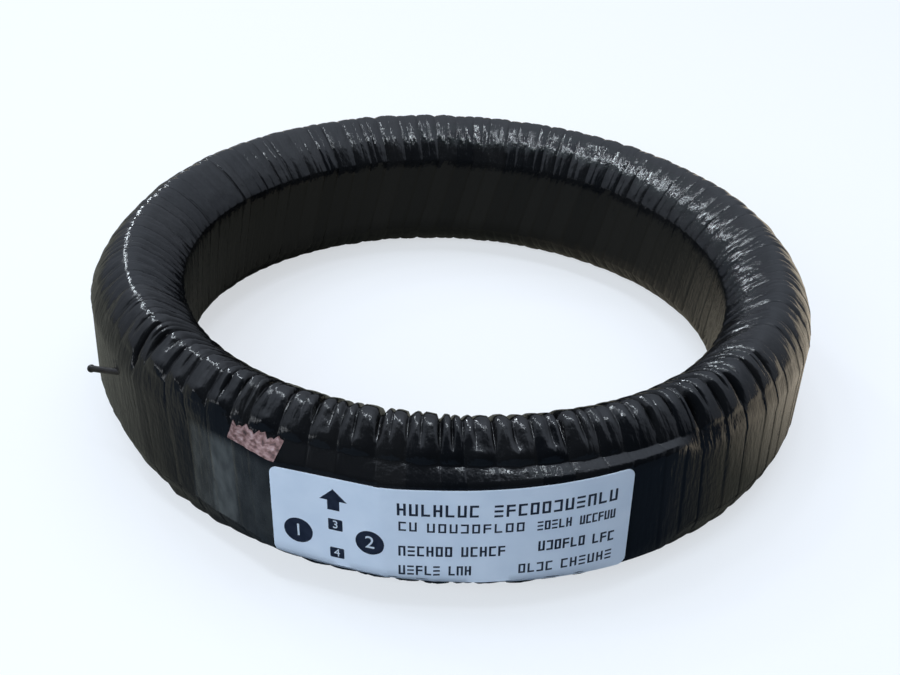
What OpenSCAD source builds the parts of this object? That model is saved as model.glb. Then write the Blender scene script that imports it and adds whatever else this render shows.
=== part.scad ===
// Ring-type current transformer, taped. Millimetres. The origin is the middle of the window and +Z is
// the window's axis; the label faces -Y.

/* [Window and core] */
// Clear diameter of the window that the primary conductor passes through
window_d = 100; // [90:1:110]
// Radial build of the strip-wound core
core_build = 4; // [3.4:0.2:4.4]
// Height of the core strip
core_h = 14; // [12.8:0.4:14.8]
// Thickness of the pressboard liners inside and outside the core
liner_t = 0.5; // [0.3:0.1:0.8]
// Thickness of the pressboard collars on the core's two faces
collar_t = 0.5; // [0.3:0.1:0.8]
// Thickness of the cotton tape that binds the core
core_tape_t = 0.3; // [0.2:0.1:0.5]

/* [Winding] */
// Diameter of the enamelled winding wire
wire_d = 1.1; // [0.9:0.05:1.3]
// Thickness of the films between and over the winding layers
film_t = 0.15; // [0.1:0.05:0.25]
// Thickness of the pressboard rings on the winding's two faces
end_ring_t = 1.1; // [0.8:0.1:1.3]
// Radial width of these rings
end_ring_w = 5.4; // [4:0.2:6]
// Thickness of the crepe-paper tape on the winding's two walls
wrap_t = 0.4; // [0.3:0.1:0.6]
// Thickness of the crepe-paper tape where it gathers on the end rings
wrap_crest_t = 1.8; // [1.5:0.1:2.2]

/* [Outer tape] */
// Thickness of the tape in the window
tape_bore_t = 1.3; // [1.1:0.1:1.8]
// Thickness of the tape on the outer wall
tape_wall_t = 1.8; // [1.7:0.1:2.4]
// Thickness of the gathered tape at the crests
tape_crest_t = 2; // [1.7:0.1:2.5]
// Radial distance from the window's wall to the crest line
crest_in = 8.5; // [7.9:0.1:9.1]
// Height of the shoulder between the outer wall's edge and the crest
outer_shoulder_h = 9.2; // [8.6:0.1:9.8]
// Height of the shoulder between the window's edge and the crest
inner_shoulder_h = 7.3; // [6.9:0.1:8]
// Fullness of the outer shoulder, 2 is an ellipse and less is flatter
outer_fullness = 1.66; // [1.5:0.02:1.9]
// Fullness of the inner shoulder
inner_fullness = 1.2; // [1.16:0.02:1.5]
// Turns of tape round the ring
laps = 84; // [72:1:90]
// Share of a lap by which the tape edges stray from an even pitch
lap_scatter = 0.4; // [0:0.05:0.6]
// Lean of the tape edges, in degrees round the ring for each millimetre of height
lap_lean = 0.1; // [0:0.01:0.14]
// Depth of the gathers on the shoulders and crests, beside the label
gather_depth = 0.6; // [0.2:0.05:0.7]
// Share of that depth that the gathers keep on the far side of the ring
gather_calm = 0.5; // [0.3:0.05:1]
// Step that a tape edge leaves on the outer wall
edge_step = 0.12; // [0.05:0.01:0.2]
// Extra thickness of the tape on the wall at the ring's left and right
side_swell = 0.8; // [0:0.1:1]
// Bulge of the tape over the winding's taped joints, left of the cover strip
joint_swell = 1.1; // [0:0.1:1.4]
// Azimuth of the bulge's middle
joint_at = -170; // [-176:1:-162]
// Half the azimuth that the bulge takes up
joint_span = 22; // [16:1:26]
// How far the lower crests are pressed flat by the ring's weight
rest_flat = 0.25; // [0.1:0.05:0.4]

/* [Joint cover strip] */
// Thickness of the cover strip under the last tape
strip_t = 0.6; // [0.4:0.1:0.8]
// Thickness of the tape over the strip
strip_cover_t = 0.35; // [0.25:0.05:0.4]
// Height of the strip's upper edge above the middle of the window
strip_high = 8.6; // [7.8:0.1:9]
// Rise of the upper edge towards the right, in millimetres for each millimetre
strip_high_slope = 0.042; // [0:0.002:0.045]
// Depth of the strip's lower edge below the middle of the window
strip_low = 8.9; // [8:0.1:9.2]
// Fall of the lower edge towards the right
strip_low_slope = 0.02; // [0:0.002:0.024]
// Azimuth of the strip's left end
strip_from = -136; // [-140:1:-130]
// Azimuth of the strip's right end
strip_to = -58; // [-64:1:-54]
// Azimuths of the two creases in the strip
crease_at = [-113, -98];
// How far the strip lifts the tape off the round of the wall
strip_rise = 1.15; // [1:0.05:1.4]
// Further rise of the tape at the creases
crease_rise = 0.35; // [0:0.05:0.5]
// Rise left at the strip's right end
strip_end_rise = 0.35; // [0.2:0.05:0.6]
// Azimuth over which the tape falls from the strip's ends to the wall
strip_fall = 5; // [2:0.5:7]

/* [Label] */
// Width of the label
label_w = 55.2; // [48:0.2:56]
// Height of the label
label_h = 18.6; // [15:0.2:19]
// Thickness of the label film
label_t = 0.15; // [0.1:0.05:0.2]
// Radius of the label's corners
label_corner_r = 1.4; // [0.5:0.1:3]
// Azimuth of the label's middle
label_at = -88.6; // [-92:0.2:-84]
// How far the middle of the label's upper edge lies below the strip's upper edge
label_drop = 0.8; // [0.3:0.1:1.5]
// Turn of the label in its own plane
label_turn = 2; // [0:0.2:3]

/* [Joint paper] */
// Width of the insulation paper that shows above the strip
paper_w = 9.4; // [6:0.2:12]
// Height of the paper on the bevel
paper_h = 2.6; // [1.5:0.1:2.8]
// Thickness of the paper
paper_t = 0.15; // [0.1:0.05:0.25]
// Azimuth from the label's left end to the paper's middle
paper_gap = 3.4; // [3:0.2:8]

/* [Winding ends] */
// Azimuth that the ends run along the wall before they turn out
tail_run = 9; // [6:0.5:12]
// Length of the start end past its turn
start_tail_l = 10.6; // [8:0.2:12]
// Height of the start end where it turns out
start_tail_z = 5; // [3:0.2:6]
// Distance from the start end down to the finish end, which is taped in
tail_pitch = 3; // [2:0.2:4]
// Turn of the start end away from the wall
start_tail_turn = 22; // [20:1:28]
// Droop of the start end below level
tail_droop = 17; // [0:1:22]
// Diameter of the blob of varnish that seals the start end
tail_tip_d = 1.4; // [1.2:0.05:1.7]

/* [Hidden] */
$fn = 120;
lay_gap = 0.02;      // between one layer and the next
tail_gap = 0.05;     // round a winding end in its tape
core_corner = core_tape_t + lay_gap;     // round edge of the core's tape, larger by each layer laid over it
film_corner = core_corner + 2 * (wire_d + film_t);
seat_gap = 0.05;     // under the label and the joint paper
over = 1;            // how far a cut runs past what it cuts

// Radii of the layers, from the window outwards and from the core's far side outwards
window_r = window_d / 2;
wrap_in = window_r + tape_bore_t;
film_in = wrap_in + wrap_t + lay_gap;
layer_2_in = film_in + film_t + lay_gap;
interlayer_in = layer_2_in + wire_d + lay_gap;
layer_1_in = interlayer_in + film_t + lay_gap;
core_tape_in = layer_1_in + wire_d + lay_gap;
liner_in = core_tape_in + core_tape_t + lay_gap;
core_in = liner_in + liner_t + lay_gap;
core_out = core_in + core_build;
liner_out = core_out + lay_gap + liner_t;
core_tape_out = liner_out + lay_gap + core_tape_t;
layer_1_out = core_tape_out + lay_gap + wire_d;
interlayer_out = layer_1_out + lay_gap + film_t;
layer_2_out = interlayer_out + lay_gap + wire_d;
film_out = layer_2_out + lay_gap + film_t;
wrap_out = film_out + lay_gap + wrap_t;
outer_r = wrap_out + tape_wall_t;
crest_r = window_r + crest_in;

// Half heights of the layers
collar_z = core_h / 2 + lay_gap + collar_t;
core_tape_z = collar_z + lay_gap + core_tape_t;
layer_1_z = core_tape_z + lay_gap + wire_d;
interlayer_z = layer_1_z + lay_gap + film_t;
layer_2_z = interlayer_z + lay_gap + wire_d;
film_z = layer_2_z + lay_gap + film_t;
end_ring_z = film_z + lay_gap + end_ring_t;
wrap_z = end_ring_z + lay_gap + wrap_crest_t;
crest_z = wrap_z + tape_crest_t;

lap = 360 / laps;

function ease(x) = let (t = min(1, max(0, x))) t * t * (3 - 2 * t);
function scatter(k, seed) = let (v = sin(k * 71.37 + seed * 37.71) * 437.585) v - floor(v);

// A point of a rounded shoulder w wide and h high, t degrees up from its foot
function shoulder(t, w, h, n) = [w * pow(cos(t), 2 / n), h * pow(sin(t), 2 / n)];

// Upper half of the crepe tape's section, from the outer wall over the crest to the window
wrap_fullness = 1.8;
wrap_foot = 0.6;     // how far its shoulders start below those of the outer tape
function wrap_half(grow) = let (
    top = wrap_z + grow,
    foot_out = crest_z - outer_shoulder_h - wrap_foot,
    foot_in = crest_z - inner_shoulder_h - wrap_foot,
    w_out = wrap_out + grow - crest_r,
    w_in = crest_r - wrap_in + grow
) concat(
    [for (t = [0:15:90]) let (s = shoulder(t, w_out, top - foot_out, wrap_fullness))
        [crest_r + s[0], foot_out + s[1]]],
    [for (t = [75:-15:0]) let (s = shoulder(t, w_in, top - foot_in, wrap_fullness))
        [crest_r - s[0], foot_in + s[1]]]
);

// --- Sections of revolution -------------------------------------------------------------------------

// Both halves of a section that is the same above and below the window's middle
function whole(half) = concat(half, [for (i = [len(half) - 1:-1:0]) [half[i][0], -half[i][1]]]);

// A ring of rectangular section with rounded edges
module round_ring(r_in, r_out, z, corner) {
    rotate_extrude() polygon([for (q = [0:3], t = [0:30:90])
        let (a = q * 90 + t,
             cr = (q == 0 || q == 3) ? r_out - corner : r_in + corner,
             cz = q < 2 ? z - corner : corner - z)
        [cr + corner * cos(a), cz + corner * sin(a)]]);
}

// One layer of the build: a tube that closes round the ring, t thick all over
module layer(r_in, r_out, z, t, corner) {
    difference() {
        round_ring(r_in, r_out, z, corner);
        round_ring(r_in + t, r_out - t, z - t, corner - t);
    }
}

module flat_ring(r_in, r_out, z0, h) {
    translate([0, 0, z0]) difference() {
        cylinder(r = r_out, h = h);
        translate([0, 0, -over]) cylinder(r = r_in, h = h + 2 * over);
    }
}

module core() {
    color([0.42, 0.43, 0.45]) flat_ring(core_in, core_out, -core_h / 2, core_h);
}

module inner_core_liner() {
    color([0.76, 0.62, 0.42]) flat_ring(liner_in, core_in - lay_gap, -core_h / 2, core_h);
}

module outer_core_liner() {
    color([0.76, 0.62, 0.42]) flat_ring(core_out + lay_gap, liner_out, -core_h / 2, core_h);
}

module core_collar() flat_ring(liner_in, liner_out, core_h / 2 + lay_gap, collar_t);

module top_core_collar() {
    color([0.72, 0.58, 0.38]) core_collar();
}

module bottom_core_collar() {
    color([0.72, 0.58, 0.38]) mirror([0, 0, 1]) core_collar();
}

module core_tape() {
    color([0.9, 0.88, 0.8])
    layer(core_tape_in, core_tape_out, core_tape_z, core_tape_t, core_corner);
}

module winding_layer_1() {
    color([0.66, 0.3, 0.14])
    layer(layer_1_in, layer_1_out, layer_1_z, wire_d, core_corner + wire_d);
}

module interlayer_film() {
    color([0.86, 0.84, 0.6])
    layer(interlayer_in, interlayer_out, interlayer_z, film_t, core_corner + wire_d + film_t);
}

module winding_layer_2() {
    color([0.7, 0.34, 0.16])
    layer(layer_2_in, layer_2_out, layer_2_z, wire_d, core_corner + 2 * wire_d + film_t);
}

module winding_film() {
    color([0.88, 0.86, 0.64])
    layer(film_in, film_out, film_z, film_t, film_corner);
}

module end_ring() {
    middle = (film_in + film_out) / 2;
    flat_ring(middle - end_ring_w / 2, middle + end_ring_w / 2, film_z + lay_gap, end_ring_t);
}

module top_end_ring() {
    color([0.68, 0.54, 0.36]) end_ring();
}

module bottom_end_ring() {
    color([0.68, 0.54, 0.36]) mirror([0, 0, 1]) end_ring();
}

// The solid that the crepe tape encloses, or the tape's own outside with its full section
module wrap_outside(grow) rotate_extrude() polygon(whole(wrap_half(grow)));

module wrap_tape() {
    middle = (film_in + film_out) / 2;
    ring_z = end_ring_z + lay_gap;
    color([0.55, 0.3, 0.24]) difference() {
        wrap_outside(0);
        round_ring(film_in - lay_gap, film_out + lay_gap, film_z + lay_gap, film_corner + lay_gap);
        flat_ring(middle - end_ring_w / 2 - lay_gap, middle + end_ring_w / 2 + lay_gap, -ring_z, 2 * ring_z);
    }
}

// --- Outer tape ----------------------------------------------------------------------------------------

// Radius of a straight run in plan between two points, each given by azimuth and radius
function chord_r(a, a0, r0, a1, r1) = r0 * r1 * sin(a1 - a0) / (r0 * sin(a - a0) + r1 * sin(a1 - a));

// Radius of the wall away from the cover strip
function wall_r(a) = let (j = abs(a - joint_at))
    outer_r + side_swell * cos(a) * cos(a) + joint_swell * ease(1 - min(j, 360 - j) / joint_span);

// Outside radius of the tape over the cover strip: two flats between creases, then round
crease_r = outer_r + strip_rise + crease_rise;
crease_fade = 8;     // azimuth over which the last crease dies out
function creased_r(az) = let (
    a = min(strip_to, max(strip_from, az)),
    past = max(0, a - crease_at[1]),
    run = past / (strip_to - crease_at[1])
)
    a < crease_at[0] ? chord_r(a, strip_from, outer_r, crease_at[0], crease_r) :
    a < crease_at[1] ? chord_r(a, crease_at[0], crease_r, crease_at[1], crease_r) :
    crease_r - crease_rise * ease(past / crease_fade) - (strip_rise - strip_end_rise) * run * run;

// The same with its creases rounded over a few degrees
crease_round = 0.8;
function strip_face_r(az) = let (r = [for (i = [-2:2]) creased_r(az + i * crease_round)])
    (r[0] + r[1] + r[2] + r[3] + r[4]) / 5;

// Height of the tape's bend over the strip's edge, away from the window's middle
function bend_z(az, up) = strip_cover_t / 2 + (up > 0 ? strip_high : strip_low)
    + (up > 0 ? strip_high_slope : strip_low_slope) * strip_face_r(az) * cos(az);

// 1 over the cover strip, falling to 0 past its ends
function strip_share(a) =
    ease((a - strip_from) / strip_fall + 1) * ease((strip_to - a) / strip_fall + 1);

// Rows of the tape's section on one face: side (1 wall, -1 window), place on the shoulder, depth of gather
wall_place = 10;      // places on the shoulder below this lie on the wall
upper_rows = [[1, 8, 0.25], [1, 33, 0.6], [1, 50, 0.9], [1, 70, 1], [1, 90, 1], [-1, 60, 0.8],
              [-1, 35, 0.6], [-1, 12, 0.4]];
lower_rows = [[-1, 14, 0.4], [-1, 50, 0.7], [1, 90, 1], [1, 70, 1], [1, 45, 0.8], [1, 8, 0.25]];

// Where a row lies at an azimuth, before its gathers: radius and height, up being away from the middle
function row_point(row, az, up) = let (
    wall = row[0] > 0,
    h = wall ? outer_shoulder_h : inner_shoulder_h,
    s = shoulder(row[1], wall ? wall_r(az) - crest_r : crest_in, h, wall ? outer_fullness : inner_fullness),
    plain = [crest_r + row[0] * s[0], crest_z - h + s[1]],
    edge = [strip_face_r(az), bend_z(az, up)],
    share = (wall && row[1] < wall_place) ? strip_share(az) : 0
) plain * (1 - share) + edge * share;

// Place of a tape edge round the ring, and the gather between two edges, from a valley to its ridge
function edge_at(k) = let (i = (k + laps) % laps) -180 + (k + lap_scatter * (scatter(i, 1) - 0.5)) * lap;
lap_shape = [[0, 1], [0.3, 0.25], [0.62, 0], [0.92, 0.2]];

function tape_point(row, k, c, up) = let (
    f = lap_shape[c][0],
    lean_z = row[0] > 0 ? row_point(row, 0, up)[1] : 2 * crest_z - row_point(row, 0, up)[1],
    a = edge_at(k) * (1 - f) + edge_at(k + 1) * f - lap_lean * up * lean_z,
    p = row_point(row, a, up),
    calm = gather_calm + (1 - gather_calm) * (1 + cos(a - label_at)) / 2,
    gather = row[2] * gather_depth * calm * (0.6 + 0.8 * scatter(k, 2)),
    depth = (row[1] < wall_place ? edge_step : gather) * lap_shape[c][1],
    r = p[0] - depth * row[0] * cos(row[1]),
    z = p[1] - depth * sin(row[1])
) [r * cos(a), r * sin(a), up > 0 ? z : -min(z, crest_z - rest_flat)];

// The tape's skirt lies inside the window until the bore is cut
function skirt_point(k, c, up) = let (
    a = edge_at(k) * (1 - lap_shape[c][0]) + edge_at(k + 1) * lap_shape[c][0],
    r = window_r - over
) [r * cos(a), r * sin(a), up * (crest_z - inner_shoulder_h - over)];

module tape_outside() {
    rows = len(lower_rows) + len(upper_rows) + 2;
    points = [for (k = [0:laps - 1], c = [0:len(lap_shape) - 1]) each concat(
        [skirt_point(k, c, -1)],
        [for (row = lower_rows) tape_point(row, k, c, -1)],
        [for (row = upper_rows) tape_point(row, k, c, 1)],
        [skirt_point(k, c, 1)]
    )];
    columns = laps * len(lap_shape);
    faces = [for (j = [0:columns - 1], i = [0:rows - 1], half = [0, 1]) let (
        a = j * rows + i,
        b = j * rows + (i + 1) % rows,
        d = ((j + 1) % columns) * rows + i,
        c = ((j + 1) % columns) * rows + (i + 1) % rows
    ) half == 0 ? [a, b, c] : [a, c, d]];
    polyhedron(points, faces);
}

module outer_tape() {
    color([0.07, 0.07, 0.08]) difference() {
        tape_outside();
        translate([0, 0, -crest_z - over]) cylinder(r = window_r, h = 2 * (crest_z + over), $fn = 240);
        wrap_outside(lay_gap);
        strip_body(lay_gap);
        start_tail_body(tail_gap);
        finish_tail_body(tail_gap);
    }
}

// --- Joint cover strip and winding ends -----------------------------------------------------------------

module strip_body(grow) {
    end = grow / outer_r * 180 / PI;
    az = concat(
        [strip_from - end],
        [for (crease = crease_at, i = [-2:2]) crease + i * crease_round],
        [for (i = [1:20]) crease_at[1] + (strip_to + end - crease_at[1]) * i / 20]
    );
    path = [for (a = az) [strip_face_r(a) - strip_cover_t, a]];
    outside = [for (p = path) (p[0] + grow) * [cos(p[1]), sin(p[1])]];
    inside = [for (i = [len(path) - 1:-1:0])
        (path[i][0] - strip_t - grow) * [cos(path[i][1]), sin(path[i][1])]];
    difference() {
        translate([0, 0, -crest_z]) linear_extrude(2 * crest_z) polygon(concat(outside, inside));
        translate([0, 0, strip_high + grow]) rotate([0, -atan(strip_high_slope), 0]) above();
        mirror([0, 0, 1]) translate([0, 0, strip_low + grow]) rotate([0, -atan(strip_low_slope), 0]) above();
    }
}

// A block over all of the ring from its own base up
module above() translate([-2 * window_r, -2 * window_r, 0]) cube([4 * window_r, 4 * window_r, crest_z]);

module joint_cover_strip() {
    color([0.5, 0.36, 0.2]) strip_body(0);
}

// The winding's ends run along the wall inside the tape. The finish end stops there.
tail_start_gap = 1.5;    // azimuth between the cover strip and the ends
tail_knuckle = 0.1;      // bulge of the wire where it stops or turns sharply
tail_at = strip_from - tail_run;
tail_r = wrap_out + tail_gap + tail_knuckle + wire_d / 2;
module tail_run_body(z, grow) translate([0, 0, z]) rotate([0, 0, tail_at]) {
    rotate_extrude(angle = tail_run - tail_start_gap + grow)
        translate([tail_r, 0]) circle(d = wire_d + 2 * grow, $fn = 48);
    translate([tail_r, 0, 0]) sphere(d = wire_d + 2 * (grow + tail_knuckle), $fn = 48);
}

// The start end then turns out through the tape and stands clear
module start_tail_body(grow) {
    tail_run_body(start_tail_z, grow);
    translate([0, 0, start_tail_z]) rotate([0, 0, tail_at]) translate([tail_r, 0, 0])
    rotate([0, 0, start_tail_turn]) rotate([90 + tail_droop, 0, 0]) {
        cylinder(d = wire_d + 2 * grow, h = start_tail_l, $fn = 48);
        translate([0, 0, start_tail_l]) sphere(d = tail_tip_d + 2 * grow, $fn = 48);
    }
}

module finish_tail_body(grow) tail_run_body(start_tail_z - tail_pitch, grow);

module start_tail() {
    color([0.08, 0.07, 0.07]) start_tail_body(0);
}

module finish_tail() {
    color([0.08, 0.07, 0.07]) finish_tail_body(0);
}

// --- Label and joint paper --------------------------------------------------------------------------------

// Radius of the taped wall and its outer shoulders at an azimuth and a height
function face_r(a, z) = lookup(z, concat(
    [for (row = lower_rows) if (row[0] > 0) let (p = row_point(row, a, -1)) [-p[1], p[0]]],
    [for (row = upper_rows) if (row[0] > 0) let (p = row_point(row, a, 1)) [p[1], p[0]]]
));

// A sheet w wide and h high, stuck on the wall at an azimuth and a height and turned in its own plane. Its
// inner rows lie on the two edges of the cover strip, where it bends onto the bevels.
module sheet(w, h, t, corner, at, z, turn, columns) {
    function half_h(x) = let (d = max(0, abs(x) - (w / 2 - corner)))
        h / 2 - corner + sqrt(max(0, corner * corner - d * d));
    function azimuth(x, y) = at + (x * cos(turn) - y * sin(turn)) / (outer_r + strip_rise) * 180 / PI;
    function rows(x) = let (
        hh = half_h(x),
        at_bend = [for (up = [-1, 1]) (up * bend_z(azimuth(x, up * hh), up) - z - x * sin(turn)) / cos(turn)],
        low = max(-0.98 * hh, min(-0.1 * hh, at_bend[0])),
        high = min(0.98 * hh, max(0.1 * hh, at_bend[1]))
    ) [-hh, low, (low + high) / 2, high, hh];
    function place(x, y, lift) = let (
        a = azimuth(x, y),
        pz = z + x * sin(turn) + y * cos(turn),
        r = face_r(a, pz) + lift
    ) [r * cos(a), r * sin(a), pz];
    points = [for (lift = [seat_gap, seat_gap + t], i = [0:columns])
        let (x = w * (i / columns - 0.5)) for (y = rows(x)) place(x, y, lift)];
    last = 4;
    n = (columns + 1) * (last + 1);
    function id(side, i, j) = side * n + i * (last + 1) + j;
    function quad(a, b, c, d) = [[a, b, c], [a, c, d]];
    faces = [each [for (i = [0:columns - 1], j = [0:last - 1]) each concat(
            quad(id(1, i, j), id(1, i, j + 1), id(1, i + 1, j + 1), id(1, i + 1, j)),
            quad(id(0, i, j), id(0, i + 1, j), id(0, i + 1, j + 1), id(0, i, j + 1)))],
        each [for (i = [0:columns - 1]) each concat(
            quad(id(0, i, 0), id(1, i, 0), id(1, i + 1, 0), id(0, i + 1, 0)),
            quad(id(0, i, last), id(0, i + 1, last), id(1, i + 1, last), id(1, i, last)))],
        each [for (j = [0:last - 1]) each concat(
            quad(id(0, 0, j), id(0, 0, j + 1), id(1, 0, j + 1), id(1, 0, j)),
            quad(id(0, columns, j), id(1, columns, j), id(1, columns, j + 1), id(0, columns, j + 1)))]
    ];
    polyhedron(points, faces);
}

label_z = bend_z(label_at, 1) - label_drop - label_h / 2;
paper_at = label_at - label_w / 2 / (outer_r + strip_rise) * 180 / PI - paper_gap;
paper_lift = 0.3;    // from the bend up to the paper's lower edge
paper_z = bend_z(paper_at, 1) + paper_lift + paper_h / 2;
paper_corner_r = 0.3;

module label() {
    color([0.8, 0.83, 0.87])
    sheet(label_w, label_h, label_t, label_corner_r, label_at, label_z, label_turn, 52);
}

module joint_paper() {
    color([0.56, 0.36, 0.34])
    sheet(paper_w, paper_h, paper_t, paper_corner_r, paper_at, paper_z, 0, 8);
}

core();
inner_core_liner();
outer_core_liner();
top_core_collar();
bottom_core_collar();
core_tape();
winding_layer_1();
interlayer_film();
winding_layer_2();
winding_film();
top_end_ring();
bottom_end_ring();
wrap_tape();
joint_cover_strip();
start_tail();
finish_tail();
outer_tape();
joint_paper();
label();
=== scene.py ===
"""Ring-type current transformer, taped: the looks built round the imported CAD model."""
import math

import bpy
import numpy as np
from mathutils import Matrix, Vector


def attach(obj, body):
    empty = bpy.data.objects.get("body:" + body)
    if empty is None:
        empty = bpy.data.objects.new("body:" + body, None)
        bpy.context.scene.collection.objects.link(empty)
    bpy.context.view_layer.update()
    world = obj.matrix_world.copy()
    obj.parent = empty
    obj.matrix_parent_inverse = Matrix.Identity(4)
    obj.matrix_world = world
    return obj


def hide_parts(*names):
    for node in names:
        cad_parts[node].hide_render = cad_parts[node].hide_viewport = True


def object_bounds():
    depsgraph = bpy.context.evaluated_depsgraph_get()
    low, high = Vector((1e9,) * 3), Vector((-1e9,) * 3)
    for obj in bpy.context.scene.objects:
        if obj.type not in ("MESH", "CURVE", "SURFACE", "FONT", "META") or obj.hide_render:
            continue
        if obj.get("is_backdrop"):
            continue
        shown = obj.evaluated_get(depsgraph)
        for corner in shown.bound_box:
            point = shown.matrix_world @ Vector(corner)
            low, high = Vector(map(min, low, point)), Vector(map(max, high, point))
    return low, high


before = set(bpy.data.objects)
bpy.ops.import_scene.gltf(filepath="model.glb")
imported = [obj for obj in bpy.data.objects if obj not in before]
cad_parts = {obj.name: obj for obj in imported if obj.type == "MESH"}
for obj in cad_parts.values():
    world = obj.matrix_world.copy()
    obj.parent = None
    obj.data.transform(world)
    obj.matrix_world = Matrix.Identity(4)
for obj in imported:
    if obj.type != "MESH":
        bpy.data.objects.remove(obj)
cad_low, cad_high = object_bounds()

# --- Camera, floor and lamps ---------------------------------------------------------------------
# A pale table under a bright ceiling with a row of lamps. The camera stands in front of the label and
# looks down on it at 30 degrees.
MM = 0.001
CAMERA_FAR = 232.9 * MM
CAMERA_UP = math.radians(30.22)
CAMERA_YAW = math.radians(-0.11)
CAMERA_PITCH = math.radians(-1.5)
CAMERA_ROLL = math.radians(3.17)
SENSOR_WIDTH, LENS_LENGTH = 36, 48.62

camera_data = bpy.data.cameras.new("camera")
camera_data.sensor_width = SENSOR_WIDTH
camera_data.lens = LENS_LENGTH
camera_data.clip_start = 0.01
camera_data.clip_end = 50
camera = bpy.data.objects.new("camera", camera_data)
bpy.context.scene.collection.objects.link(camera)
camera.matrix_world = (
    Matrix.Translation((0, -math.cos(CAMERA_UP) * CAMERA_FAR, math.sin(CAMERA_UP) * CAMERA_FAR))
    @ Matrix.Rotation(math.pi / 2 - CAMERA_UP, 4, "X")
    @ Matrix.Rotation(-CAMERA_YAW, 4, "Y")
    @ Matrix.Rotation(CAMERA_PITCH, 4, "X")
    @ Matrix.Rotation(CAMERA_ROLL, 4, "Z")
)
bpy.context.scene.camera = camera
bpy.context.scene.view_settings.view_transform = "Standard"


def deselect():
    """Leaves edit mode and selects nothing."""
    if bpy.context.object and bpy.context.object.mode != "OBJECT":
        bpy.ops.object.mode_set(mode="OBJECT")
    bpy.ops.object.select_all(action="DESELECT")


def new_material(name):
    """A material, its nodes, its links and its shader."""
    material = bpy.data.materials.new(name)
    material.use_nodes = True
    nodes = material.node_tree.nodes
    return material, nodes, material.node_tree.links, nodes["Principled BSDF"]


def ramp_node(nodes, *stops):
    """A colour ramp with a stop for each (place, colour)."""
    ramp = nodes.new("ShaderNodeValToRGB")
    while len(ramp.color_ramp.elements) < len(stops):
        ramp.color_ramp.elements.new(0.5)
    for element, (place, colour) in zip(ramp.color_ramp.elements, stops):
        element.position = place
        element.color = (*colour, 1)
    return ramp


def range_node(nodes, links, source, low, high, to_low=0.0, to_high=1.0):
    """Maps low to high onto to_low to to_high."""
    mapped = nodes.new("ShaderNodeMapRange")
    for name, value in (("From Min", low), ("From Max", high), ("To Min", to_low), ("To Max", to_high)):
        mapped.inputs[name].default_value = value
    links.new(source, mapped.inputs["Value"])
    return mapped


FLOOR_R = 6
FLOOR_PALE = (0.84, 0.87, 0.92)
FLOOR_GLOW = (0.89, 0.92, 0.955)
GLOW_SHARE = 0.66
TO_THE_RIGHT = (5, 3, 0)
# Painted reflection and painted shade: tones that only reflection rays see on the floor
TONES_FROM_Y, TONES_TO_Y = -0.045, -0.058
SHADED_TABLE = (0.04, 0.055, 0.075)

deselect()
bpy.ops.mesh.primitive_circle_add(
    vertices=96, radius=FLOOR_R, fill_type="NGON", location=(0, 0, cad_low[2])
)
floor = bpy.context.object
floor.name = "floor"
floor_material, nodes, links, shader = new_material("pale_floor")
nodes.remove(shader)
# The camera sees the table pale. Reflections see painted tones on it: a painted shade in front, dim olive,
# tan to the right.
seen_dull = nodes.new("ShaderNodeBsdfDiffuse")
seen_dull.inputs["Color"].default_value = (*FLOOR_PALE, 1)
seen_glow = nodes.new("ShaderNodeEmission")
seen_glow.inputs["Color"].default_value = (*FLOOR_GLOW, 1)
seen_glow.inputs["Strength"].default_value = 1
seen = nodes.new("ShaderNodeMixShader")
seen.inputs["Fac"].default_value = GLOW_SHARE
links.new(seen_dull.outputs[0], seen.inputs[1])
links.new(seen_glow.outputs[0], seen.inputs[2])
place_node = nodes.new("ShaderNodeTexCoord")
to_right = nodes.new("ShaderNodeVectorMath")
to_right.operation = "DOT_PRODUCT"
to_right.inputs[1].default_value = TO_THE_RIGHT
links.new(place_node.outputs["Object"], to_right.inputs[0])
reflected_tones = ramp_node(
    nodes,
    (0.0, (0.16, 0.15, 0.12)),
    (0.20, (0.16, 0.145, 0.11)),
    (0.42, (0.72, 0.58, 0.42)),
)
links.new(to_right.outputs["Value"], reflected_tones.inputs["Fac"])
split_place = nodes.new("ShaderNodeSeparateXYZ")
links.new(place_node.outputs["Object"], split_place.inputs["Vector"])
in_front = range_node(nodes, links, split_place.outputs["Y"], TONES_TO_Y, TONES_FROM_Y)
reflected_shade_and_tones = nodes.new("ShaderNodeMix")
reflected_shade_and_tones.data_type = "RGBA"
links.new(in_front.outputs["Result"], reflected_shade_and_tones.inputs["Factor"])
reflected_shade_and_tones.inputs["A"].default_value = (*SHADED_TABLE, 1)
links.new(reflected_tones.outputs["Color"], reflected_shade_and_tones.inputs["B"])
mirrored = nodes.new("ShaderNodeBsdfDiffuse")
links.new(reflected_shade_and_tones.outputs["Result"], mirrored.inputs["Color"])
rays = nodes.new("ShaderNodeLightPath")
mixed = nodes.new("ShaderNodeMixShader")
links.new(rays.outputs["Is Camera Ray"], mixed.inputs["Fac"])
links.new(mirrored.outputs[0], mixed.inputs[1])
links.new(seen.outputs[0], mixed.inputs[2])
links.new(mixed.outputs[0], nodes["Material Output"].inputs["Surface"])
floor.data.materials.append(floor_material)
floor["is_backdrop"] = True

BACKDROP = (0.871, 0.905, 0.947)
DIM_FROM_Y, DIM_TO_Y = -0.12, -0.42     # the world dims towards the camera between these, ahead being +Y
DIMMEST = 0.03

world = bpy.data.worlds.new("studio")
bpy.context.scene.world = world
world.use_nodes = True
nodes, links = world.node_tree.nodes, world.node_tree.links
nodes.clear()
output = nodes.new("ShaderNodeOutputWorld")
backdrop = nodes.new("ShaderNodeBackground")
backdrop.inputs["Color"].default_value = (*BACKDROP, 1)
studio = nodes.new("ShaderNodeBackground")
place_node = nodes.new("ShaderNodeTexCoord")
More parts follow.
